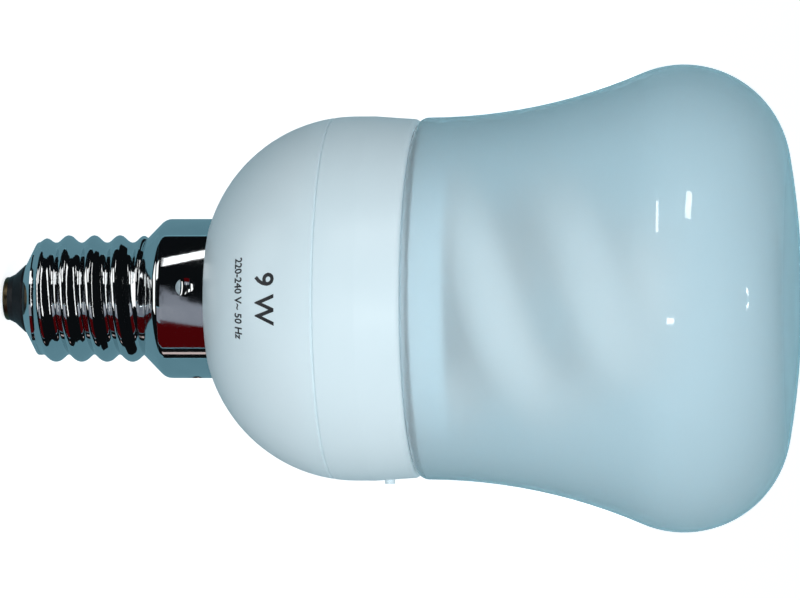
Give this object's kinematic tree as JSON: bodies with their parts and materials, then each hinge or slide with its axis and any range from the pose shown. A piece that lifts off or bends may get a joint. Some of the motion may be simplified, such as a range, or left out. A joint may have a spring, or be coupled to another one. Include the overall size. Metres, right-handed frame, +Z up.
{
  "type": "reflector-shaped compact fluorescent lamp",
  "caption": "Mushroom-shaped energy saving lamp: frosted bulb over a spiral discharge tube, white domed ballast housing and a nickel screw cap.",
  "frame": {"origin": "lowest point of the solder dome on the centre contact, on the lamp axis", "axes": "+Z up the lamp axis from the cap to the bulb face; -Y towards the side seen in the picture; +X towards the moulding nib on the holder ring"},
  "size_m": [0.0502, 0.0502, 0.087],
  "materials": {
    "nickel": "bright nickel plate",
    "brass": "plain",
    "solder": "bright tin",
    "black_insulator": "gloss",
    "white_plastic": "smooth satin",
    "frosted_glass": "frosted inside, glossy outside",
    "phosphor_tube": "white powder coat inside",
    "cement": "matte",
    "board": "matte",
    "ferrite": "matte",
    "copper_wire": "lacquered",
    "tinned_wire": "tinned",
    "black_epoxy": "matte",
    "bobbin_plastic": "matte",
    "capacitor_sleeve": "shrunk film",
    "film_capacitor": "dipped",
    "ceramic_disc": "dipped",
    "diac_glass": "glass bead",
    "resistor_body": "lacquer",
    "fuse_body": "lacquer",
    "sleeve": "woven"
  },
  "bodies": {
    "root": {"blocking_capacitor": "film_capacitor", "bulb_cement": "cement", "cap_insulator": "black_insulator", "centre_contact": "brass", "ceramic_capacitor": "ceramic_disc", "choke_bobbin": "bobbin_plastic", "choke_core": "ferrite", "choke_pins": "tinned_wire", "choke_winding": "copper_wire", "circuit_board": "board", "contact_solder": "solder", "dome_housing": "white_plastic", "frosted_bulb": "frosted_glass", "fuse_resistor": "fuse_body", "insulating_sleeve": "sleeve", "lead_pin_1": "tinned_wire", "lead_pin_2": "tinned_wire", "lead_pin_3": "tinned_wire", "lead_pin_4": "tinned_wire", "rectifier_diode_1": "black_epoxy", "rectifier_diode_2": "black_epoxy", "rectifier_diode_3": "black_epoxy", "rectifier_diode_4": "black_epoxy", "resistor_1": "resistor_body", "resistor_2": "resistor_body", "resistor_3": "resistor_body", "resistor_4": "resistor_body", "resonant_capacitor": "film_capacitor", "screw_shell": "nickel", "shell_lead": "tinned_wire", "smoothing_capacitor": "capacitor_sleeve", "solder_joints": "solder", "spiral_tube": "phosphor_tube", "toroid_core": "ferrite", "toroid_windings": "copper_wire", "transistor_1": "black_epoxy", "transistor_2": "black_epoxy", "trigger_diac": "diac_glass", "tube_cement": "cement", "tube_holder": "white_plastic", "tube_lead_1": "tinned_wire", "tube_lead_2": "tinned_wire", "tube_lead_3": "tinned_wire", "tube_lead_4": "tinned_wire"}
  },
  "joints": []
}
